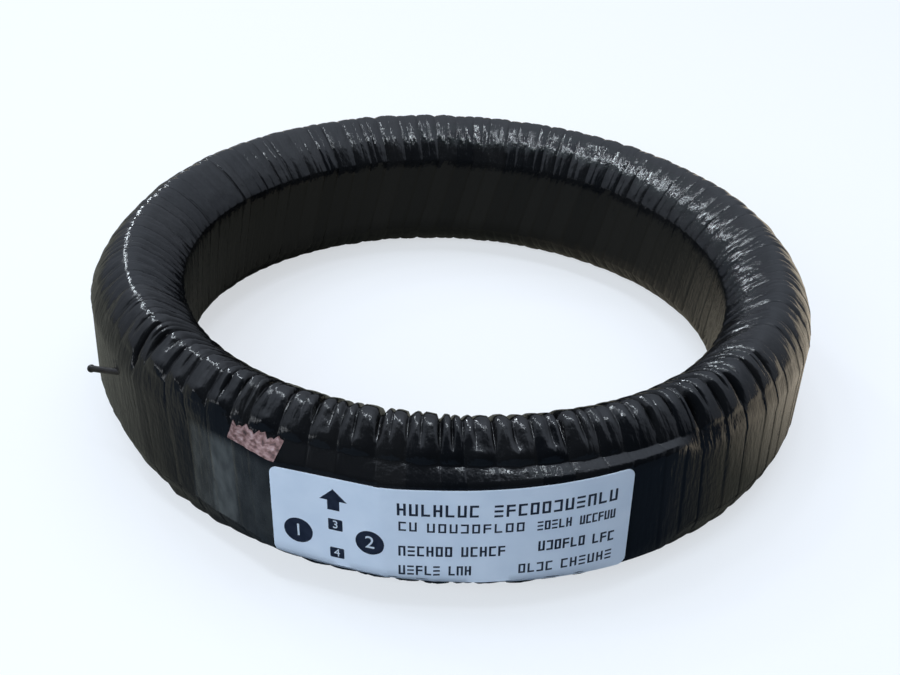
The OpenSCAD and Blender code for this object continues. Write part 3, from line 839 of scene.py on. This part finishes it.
printed = []


def add_print(piece, x, y):
    """Adds a flat piece of print, edited till now, at its place on the label."""
    thicken(INK_T)
    bpy.ops.mesh.select_all(action="SELECT")
    bpy.ops.transform.translate(value=(x * MM, y * MM, 0))
    bpy.ops.object.mode_set(mode="OBJECT")
    printed.append(piece)


unit = flat_block("stroke", 1, 1)
thicken(INK_T)
bpy.ops.object.mode_set(mode="OBJECT")
# A block is a few strokes: (x, y, width, height) as shares of it, drawn or left out by turns
STROKES = [(-0.5, 0, 0, 1), (0.5, 0, 0, 1), (0, 0.5, 1, 0), (0, 0, 1, 0), (0, -0.5, 1, 0)]
FORMS = [(0, 2, 4), (0, 1, 3), (0, 1, 2), (0, 2, 3), (1, 2, 4), (0, 4), (0, 1, 4), (0, 1, 2, 4), (2, 3, 4)]
STROKE_T, BLOCK_W = 0.17, 0.52     # shares of the block's height and of the pitch
for left, right, y_left, y_right, high, blocks in LINES:
    pitch = (right - left) / blocks
    thick = high * STROKE_T
    for i in range(blocks):
        form = FORMS[int(scatter(i * 1.7 + left + 3 * y_left, 31) * len(FORMS))]
        for x, y, w, h in (STROKES[j] for j in form):
            wide = pitch * BLOCK_W
            tall = high - thick
            stroke = unit.copy()
            stroke.data = unit.data.copy()
            bpy.context.scene.collection.objects.link(stroke)
            middle_x = left + pitch * (i + 0.5) + x * wide
            middle_y = y_left + (y_right - y_left) * (i + 0.5) / blocks + y * tall
            stroke.data.transform(
                Matrix.Translation((middle_x * MM, middle_y * MM, 0))
                @ Matrix.Diagonal((w * wide + thick, h * tall + thick, 1, 1))
            )
            printed.append(stroke)
bpy.data.objects.remove(unit)
for x, y, w, h in ((-17.4, 0.84, 2.25, 2.1), (-17.3, -4.5, 2.25, 1.9)):
    piece = flat_block("square", w, h, 0.15, 2)
    slice_up(0.9, 5, w / 2, h / 2)
    add_print(piece, x, y)
piece = flat_block("arrow_shaft", 1.9, 2.1)
add_print(piece, -17.6, 4.6)
deselect()
bpy.ops.mesh.primitive_circle_add(vertices=3, radius=MM, fill_type="NGON", rotation=(0, 0, 0))
piece = bpy.context.object
bpy.ops.object.mode_set(mode="EDIT")
bpy.ops.transform.resize(value=(4.3 / math.sqrt(3), 2.1 / 1.5, 1))
slice_up(0.7, 5, 2.2, 2)
add_print(piece, -17.6, 6.1)
for x, y, size in ((-23.4, -1.7, 4.6), (-12.1, -1.2, 4.4)):
    deselect()
    bpy.ops.mesh.primitive_circle_add(vertices=40, radius=size / 2 * MM, fill_type="NGON")
    piece = bpy.context.object
    bpy.ops.object.mode_set(mode="EDIT")
    slice_up(0.7, 9, size / 2, size / 2)
    add_print(piece, x, y)
label_print = join_pieces(printed, "label_print")
bpy.ops.object.transform_apply(location=True, rotation=True, scale=True)
lay_on_wall(label_print, FRONT_AT, LABEL_Z, LABEL_TURN, SEAT + LABEL_T + INK_LIFT, label_crease)
label_print.data.materials.append(ink_material)
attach(label_print, "root")

# White plain numbers on the discs and the squares
white_material, nodes, links, shader = new_material("label_white_ink")
ink_place = nodes.new("ShaderNodeTexCoord").outputs["Object"]
mottle(nodes, links, shader, ink_place, 900, 2, (0.62, 0.68, 0.76), (0.72, 0.77, 0.84))
shader.inputs["Roughness"].default_value = 0.4
numbers = []
for word, x, y, size in (("1", -23.4, -1.7, 3.2), ("2", -12.1, -1.2, 3.2), ("3", -17.4, 0.84, 2.0),
                         ("4", -17.3, -4.5, 2.0)):
    deselect()
    bpy.ops.object.text_add()
    number = bpy.context.object
    number.data.body = word
    number.data.size = size * MM
    number.data.align_x = "CENTER"
    number.data.align_y = "CENTER"
    number.data.extrude = NUMBER_T * MM
    bpy.ops.object.convert(target="MESH")
    number = bpy.context.object
    number.location = (x * MM, y * MM, 0)
    bpy.ops.object.transform_apply(location=True, rotation=True, scale=True)
    numbers.append(number)
label_numbers = join_pieces(numbers, "label_numbers")
bpy.ops.object.mode_set(mode="EDIT")
bpy.ops.mesh.select_all(action="SELECT")
bpy.ops.mesh.remove_doubles(threshold=1e-6)
bpy.ops.mesh.normals_make_consistent(inside=False)
bpy.ops.object.mode_set(mode="OBJECT")
lay_on_wall(label_numbers, FRONT_AT, LABEL_Z, LABEL_TURN, SEAT + LABEL_T + NUMBER_LIFT, label_crease)
label_numbers.data.materials.clear()
label_numbers.data.materials.append(white_material)
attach(label_numbers, "root")

# --- Joint paper ---------------------------------------------------------------------------------
# A thin red-brown sheet with a mottled face that shows on the bevel above the strip, left of the label.
# Its upper edge is ragged.
PAPER_W, PAPER_H, PAPER_T = 9.4, 2.6, 0.15
PAPER_GAP = 3.4      # degrees from the label's end to the paper's middle
PAPER_RISE = 0.3     # from the bend over the strip's edge up to the paper
PAPER_AT = FRONT_AT - math.degrees(LABEL_W / 2 / FACE_R) - PAPER_GAP
PAPER_Z = float(bend_z(PAPER_AT, 1)) + PAPER_RISE + PAPER_H / 2
paper = flat_block("joint_paper_scrap", PAPER_W, PAPER_H)
slice_up(0.35, 0.5, PAPER_W / 2, PAPER_H / 2)
thicken(PAPER_T)
bpy.ops.object.mode_set(mode="OBJECT")
flat_uv(paper, "paper_uv", PAPER_W, PAPER_H)
for vertex in paper.data.vertices:
    x, y, _ = vertex.co / MM
    high = ease((y / PAPER_H + 0.5) * 1.4 - 0.4)
    ragged = 0.28 * math.sin(x * 2.1) + 0.2 * math.sin(x * 5.3 + 1)
    vertex.co.y += (ragged - 0.12) * float(high) * MM
    vertex.co.x += 0.22 * y * MM


def paper_curl(x, y):
    """The paper stands off the tape here and there."""
    return 0.07 * float(grain(x * 1.3 + 40, y * 1.4 + 9, 400, 41)) + 0.07


lay_on_wall(paper, PAPER_AT, PAPER_Z, 0, SEAT + PAPER_T, paper_curl)
bpy.ops.object.shade_smooth_by_angle(angle=math.radians(40))
paper_material, nodes, links, shader = new_material("joint_paper")
paper_uv = nodes.new("ShaderNodeTexCoord").outputs["UV"]
fibres = noise_node(nodes, links, paper_uv, 5, 4, (1.6, 1, 1))
brown = ramp_node(
    nodes,
    (0.30, (0.03, 0.018, 0.018)),
    (0.45, (0.16, 0.085, 0.08)),
    (0.58, (0.30, 0.19, 0.185)),
    (0.75, (0.42, 0.33, 0.33)),
)
links.new(fibres.outputs["Fac"], brown.inputs["Fac"])
links.new(brown.outputs["Color"], shader.inputs["Base Color"])
shader.inputs["Roughness"].default_value = 0.45
pulp = noise_node(nodes, links, paper_uv, 22, 3, (3, 1, 1))
pulp_bump = bump_node(nodes, links, pulp.outputs["Fac"], 0.00015, 0.6)
links.new(pulp_bump.outputs["Normal"], shader.inputs["Normal"])
paper.data.materials.append(paper_material)
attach(paper, "root")
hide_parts("joint_paper")

# --- Winding tails -------------------------------------------------------------------------------
# The two ends of the winding's enamelled wire, dipped in black varnish. The start comes out of the tape
# at the left, and the finish stays taped in.
tail_material, nodes, links, shader = new_material("tail_varnish")
tail_place = nodes.new("ShaderNodeTexCoord").outputs["Object"]
drip = mottle(nodes, links, shader, tail_place, 700, 2, (0.004, 0.003, 0.003), (0.016, 0.013, 0.012))
shader.inputs["Roughness"].default_value = 0.3
drip_bump = bump_node(nodes, links, drip.outputs["Fac"], 0.0003, 0.5)
links.new(drip_bump.outputs["Normal"], shader.inputs["Normal"])
for name in ("start_tail", "finish_tail"):
    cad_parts[name].data.materials.clear()
    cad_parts[name].data.materials.append(tail_material)

# --- Core, winding and insulation -----------------------------------------------------------------
# What the tape hides: a strip-wound core in pressboard and cotton tape, two layers of enamelled copper
# wire with films, pressboard end rings, crepe paper and the stiff strip over the winding's joints.
INNER_LOOKS = [
    # material, darker, paler, noise scale, stretch, metallic, roughness, bump distance, nodes
    ("core_steel", (0.20, 0.21, 0.22), (0.42, 0.43, 0.45), 500, (1, 1, 0.05), 1, 0.4, 0.00005, ("core",)),
    ("pressboard", (0.42, 0.30, 0.17), (0.55, 0.42, 0.26), 900, (1, 1, 1), 0, 0.75, 0.00004,
     ("inner_core_liner", "outer_core_liner", "top_core_collar", "bottom_core_collar", "top_end_ring",
      "bottom_end_ring", "joint_cover_strip")),
    ("cotton_tape", (0.66, 0.63, 0.54), (0.82, 0.80, 0.72), 1600, (1, 1, 0.3), 0, 0.9, 0.0001,
     ("core_tape",)),
    ("winding_copper", (0.42, 0.16, 0.06), (0.68, 0.32, 0.15), 300, (1, 1, 0.02), 1, 0.3, 0.0003,
     ("winding_layer_1", "winding_layer_2")),
    ("film", (0.66, 0.64, 0.42), (0.80, 0.78, 0.56), 200, (1, 1, 1), 0, 0.2, 0.00005,
     ("interlayer_film", "winding_film")),
    ("crepe_paper", (0.20, 0.09, 0.07), (0.34, 0.16, 0.12), 700, (1, 1, 0.2), 0, 0.85, 0.0003,
     ("wrap_tape",)),
]
for name, dark, light, scale, stretch, metal, rough, depth, used_by in INNER_LOOKS:
    material, nodes, links, shader = new_material(name)
    inner_place = nodes.new("ShaderNodeTexCoord").outputs["Object"]
    grain_node = mottle(nodes, links, shader, inner_place, scale, 3, dark, light, stretch)
    shader.inputs["Metallic"].default_value = metal
    shader.inputs["Roughness"].default_value = rough
    grain_bump = bump_node(nodes, links, grain_node.outputs["Fac"], depth, 0.6)
    links.new(grain_bump.outputs["Normal"], shader.inputs["Normal"])
    for node in used_by:
        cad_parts[node].data.materials.clear()
        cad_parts[node].data.materials.append(material)

size = {"cad": [list(cad_low), list(cad_high)], "visual": [list(corner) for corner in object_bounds()]}
